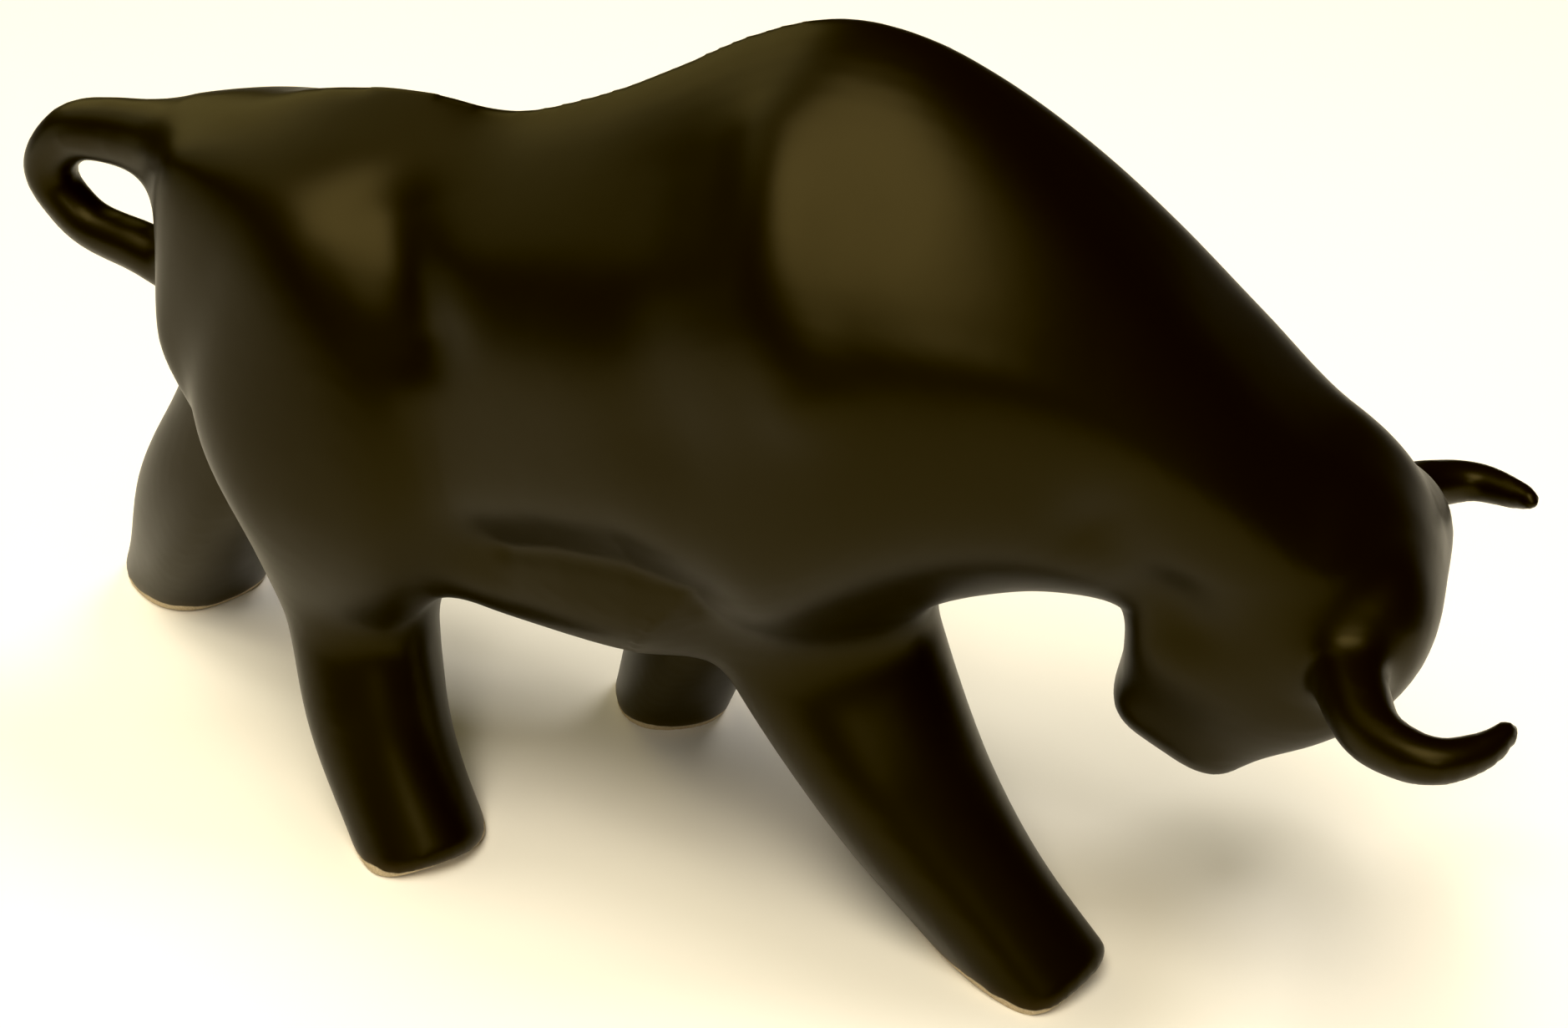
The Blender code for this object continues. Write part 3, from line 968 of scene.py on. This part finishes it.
@dataclass
class Bull:
    """The whole figure in one piece."""

    body_length: float = 0.290
    trunk: Trunk = field(default_factory=Trunk)
    haunches: Haunches = field(default_factory=Haunches)
    head: Head = field(default_factory=Head)
    legs: Legs = field(default_factory=Legs)
    tail: Tail = field(default_factory=Tail)
    clay: Clay = field(default_factory=Clay)
    glaze: BlackGlaze = field(default_factory=BlackGlaze)
    sharp_angle: float = 60.0
    touches: dict[str, Touch] = field(
        default_factory=lambda: {
            "hip hollow": Touch(
                path=((-0.226, 0.092, 0.512), (-0.196, 0.125, 0.440)),
                reach=0.032,
                rise=-0.013,
            ),
            "shoulder crest": Touch(
                path=((0.030, 0.080, 0.600), (0.085, 0.150, 0.460)),
                reach=0.028,
                rise=0.006,
            ),
            "shoulder valley": Touch(
                path=((-0.045, 0.090, 0.560), (-0.005, 0.140, 0.420)),
                reach=0.045,
                rise=-0.006,
            ),
            "cheek hollow": Touch(
                path=((0.264, 0.115, 0.384), (0.325, 0.096, 0.314)),
                reach=0.030,
                rise=-0.008,
                reach_below=0.026,
            ),
            "belly fold": Touch(BELLY_FOLD, reach=0.036, rise=-0.021, reach_below=0.056),
            "belly line": Touch(BELLY_FOLD, reach=0.010, rise=-0.0030),
        }
    )
    rubbed: dict[str, Smoothing] = field(
        default_factory=lambda: {
            "croup": Smoothing(
                path=((-0.430, 0.020, 0.500), (-0.370, 0.050, 0.520), (-0.330, 0.060, 0.520)),
                reach=0.050,
            ),
            "haunch rear": Smoothing(
                path=((-0.390, 0.070, 0.495), (-0.400, 0.090, 0.430)),
                reach=0.035,
            ),
            "groin": Smoothing(
                path=((-0.235, 0.112, 0.272), (-0.185, 0.108, 0.264)),
                reach=0.020,
            ),
            "thigh": Smoothing(
                path=((-0.300, 0.115, 0.360), (-0.290, 0.110, 0.270)),
                reach=0.050,
            ),
            "hip edge": Smoothing(
                path=((-0.248, 0.050, 0.530), (-0.228, 0.100, 0.460)),
                reach=0.028,
            ),
            "throat": Smoothing(
                path=((0.120, 0.125, 0.270), (0.165, 0.080, 0.262)),
                reach=0.028,
            ),
            "ribs": Smoothing(
                path=((-0.175, 0.118, 0.450), (-0.060, 0.130, 0.480)),
                reach=0.040,
            ),
        }
    )
    shift: tuple[float, float] = (0.0, 0.0)

    def surfaces(self) -> list[Surface]:
        """Every form of the animal, in shares of the body's length.

        Returns:
            The trunk, the haunches, the head with its horns, the legs and the tail.
        """
        haunches = [self.haunches.surface(side) for side in (-1, 1)]
        rest = [*self.head.surfaces(), *self.legs.surfaces(), self.tail.surface()]
        return [self.trunk.surface(), *haunches, *rest]

    def shares(self, mesh: bpy.types.Mesh) -> np.ndarray:
        """Where the skin lies, so that a stroke given for one side counts on both.

        Args:
            mesh: The skin.

        Returns:
            Its places in shares of the body's length, with |y|.
        """
        place = self.clay.read(mesh, "co") / self.body_length
        place[:, 1] = np.abs(place[:, 1])
        return place

    def touch(self, mesh: bpy.types.Mesh) -> None:
        """Rubs the creases smooth, then presses the hollows and raises the crests.

        Args:
            mesh: The filled skin.
        """
        place = self.shares(mesh)
        strength = np.max([stroke.strength(place) for stroke in self.rubbed.values()], axis=0)
        self.clay.rub(mesh, strength)
        place = self.shares(mesh)
        height = sum(stroke.height(place) for stroke in self.touches.values()) * self.body_length
        points = self.clay.read(mesh, "co")
        normals = self.clay.read(mesh, "normal")
        self.clay.move(mesh, points + height[:, None] * normals)

    def centre(self, mesh: bpy.types.Mesh) -> None:
        """Slides the figure level, until the middle of its outline is at the origin.

        Args:
            mesh: The finished skin.
        """
        points = self.clay.read(mesh, "co")
        middle = (points.min(axis=0) + points.max(axis=0)) / 2
        self.shift = (-float(middle[0]), -float(middle[1]))
        self.clay.move(mesh, points + (*self.shift, 0.0))

    def build(self) -> None:
        """Makes, dresses and places the figure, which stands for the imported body."""
        mesh = self.clay.weld(self.surfaces(), self.body_length)
        self.clay.fill(mesh)
        self.touch(mesh)
        self.clay.round_soles(mesh)
        self.clay.cut_feet(mesh)
        self.centre(mesh)
        mesh.name = "bull_figure"
        mesh.materials.clear()
        mesh.materials.append(self.glaze.material())
        mesh.shade_smooth()
        mesh.set_sharp_from_angle(angle=math.radians(self.sharp_angle))
        figure = linked("bull_figure", mesh)
        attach(figure, "root")
        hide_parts("bull")
        mesh.calc_loop_triangles()
        LOG.info("bull_figure: %d triangles", len(mesh.loop_triangles))


def look_at(thing: bpy.types.Object, aim: Row) -> None:
    """Turns a light or camera, level, to look at a point.

    Args:
        thing: The object to turn.
        aim: The point.
    """
    way = Vector(aim) - Vector(thing.location)
    thing.rotation_mode = "QUATERNION"
    thing.rotation_quaternion = way.to_track_quat("-Z", "Y")


@dataclass(frozen=True)
class Lamp:
    """A round soft light that looks at a point, and may be left out of what the glaze mirrors."""

    name: str
    place: Row
    size: float
    watts: float
    colour: Row
    mirrored: bool = True
    aim: Row = (0.0, 0.0, 0.08)

    def build(self) -> None:
        """Makes the light."""
        data = bpy.data.lights.new(self.name, "AREA")
        data.shape = "DISK"
        data.size = self.size
        data.energy = self.watts
        data.color = self.colour
        lamp = linked(self.name, data)
        lamp.location = self.place
        lamp.visible_glossy = self.mirrored
        look_at(lamp, self.aim)


@dataclass
class Studio:
    """Pale table, soft lights and the camera.

    The camera's place and aim are in shares of the body's length, from the trunk's own middle,
    so they move with the figure.  The lamps' places are metres.  The room is its own faint
    light, and the black level is what the photograph shows as black in each colour.
    """

    floor_half: float = 1.2
    table: PaleTable = field(default_factory=PaleTable)
    camera_place: Row = (0.4389, -1.1510, 1.0419)
    camera_aim: Row = (0.0, 0.055, 0.24)
    focal_mm: float = 46.41
    sensor_mm: float = 36.0
    room: Row = (0.011, 0.0092, 0.0065)
    black_level: Row = (0.0, 0.0012, 0.0034)
    lamps: tuple[Lamp, ...] = (
        Lamp(
            "lamp over the bull",
            place=(0.08, -0.86, 2.00),
            size=1.35,
            watts=37.0,
            colour=(1.0, 0.88, 0.66),
        ),
        Lamp(
            "window on the left",
            place=(-1.45, 1.10, 1.25),
            size=1.50,
            watts=7.0,
            colour=(1.0, 0.80, 0.28),
        ),
        Lamp(
            "pale ceiling on the left",
            place=(-1.45, 0.10, 1.75),
            size=1.60,
            watts=7.5,
            colour=(1.0, 0.90, 0.52),
        ),
        Lamp(
            "pale wall on the left",
            place=(-1.90, -0.85, 0.25),
            size=1.00,
            watts=2.2,
            colour=(1.0, 0.90, 0.50),
        ),
        Lamp(
            "small lamp in front",
            place=(0.60, -1.90, 1.42),
            size=0.60,
            watts=9.0,
            colour=(1.0, 0.90, 0.72),
        ),
        Lamp(
            "ceiling lamp",
            place=(-0.55, 0.15, 2.60),
            size=0.60,
            watts=12.0,
            colour=(1.0, 0.92, 0.80),
            mirrored=False,
        ),
        Lamp(
            "ceiling lamp on the right",
            place=(0.95, 0.60, 2.40),
            size=0.80,
            watts=30.0,
            colour=(1.0, 0.94, 0.84),
            mirrored=False,
        ),
        Lamp(
            "ceiling",
            place=(-0.35, 0.0, 2.60),
            size=1.60,
            watts=26.0,
            colour=(1.0, 0.90, 0.66),
            mirrored=False,
        ),
    )

    def placed(self, place: Row, bull: Bull) -> Row:
        """A point given in shares of the body's length, as metres beside the centred bull."""
        x, y, z = (number * bull.body_length for number in place)
        return (x + bull.shift[0], y + bull.shift[1], z)

    def build_table(self) -> None:
        """Makes the table top, one square face under the soles."""
        half = self.floor_half
        mesh = bpy.data.meshes.new("table_top")
        corners = [(-half, -half, 0.0), (half, -half, 0.0), (half, half, 0.0), (-half, half, 0.0)]
        mesh.from_pydata(corners, [], [(0, 1, 2, 3)])
        mesh.materials.append(self.table.material())
        table = linked("table_top", mesh)

    def build_camera(self, bull: Bull) -> None:
        """Sets the camera where the photograph was taken from.

        Args:
            bull: The figure, whose length and place the camera's place goes by.
        """
        data = bpy.data.cameras.new("camera")
        data.lens = self.focal_mm
        data.sensor_width = self.sensor_mm
        view = linked("camera", data)
        view.location = self.placed(self.camera_place, bull)
        look_at(view, self.placed(self.camera_aim, bull))
        bpy.context.scene.camera = view

    def build(self, bull: Bull) -> None:
        """Sets the table, the lights, the room's own faint light and the camera.

        Args:
            bull: The finished figure.
        """
        self.build_table()
        for lamp in self.lamps:
            lamp.build()
        world = bpy.data.worlds.new("room")
        world.use_nodes = True
        world.node_tree.nodes["Background"].inputs["Color"].default_value = (*self.room, 1.0)
        bpy.context.scene.world = world
        self.build_camera(bull)
        settings = bpy.context.scene.view_settings
        settings.view_transform = "Standard"
        settings.use_curve_mapping = True
        settings.curve_mapping.black_level = self.black_level
        settings.curve_mapping.update()


def main() -> None:
    """Builds the bull and its studio."""
    logging.basicConfig(level=logging.INFO)
    bull = Bull()
    bull.build()
    Studio().build(bull)


if __name__ == "__main__":
    main()
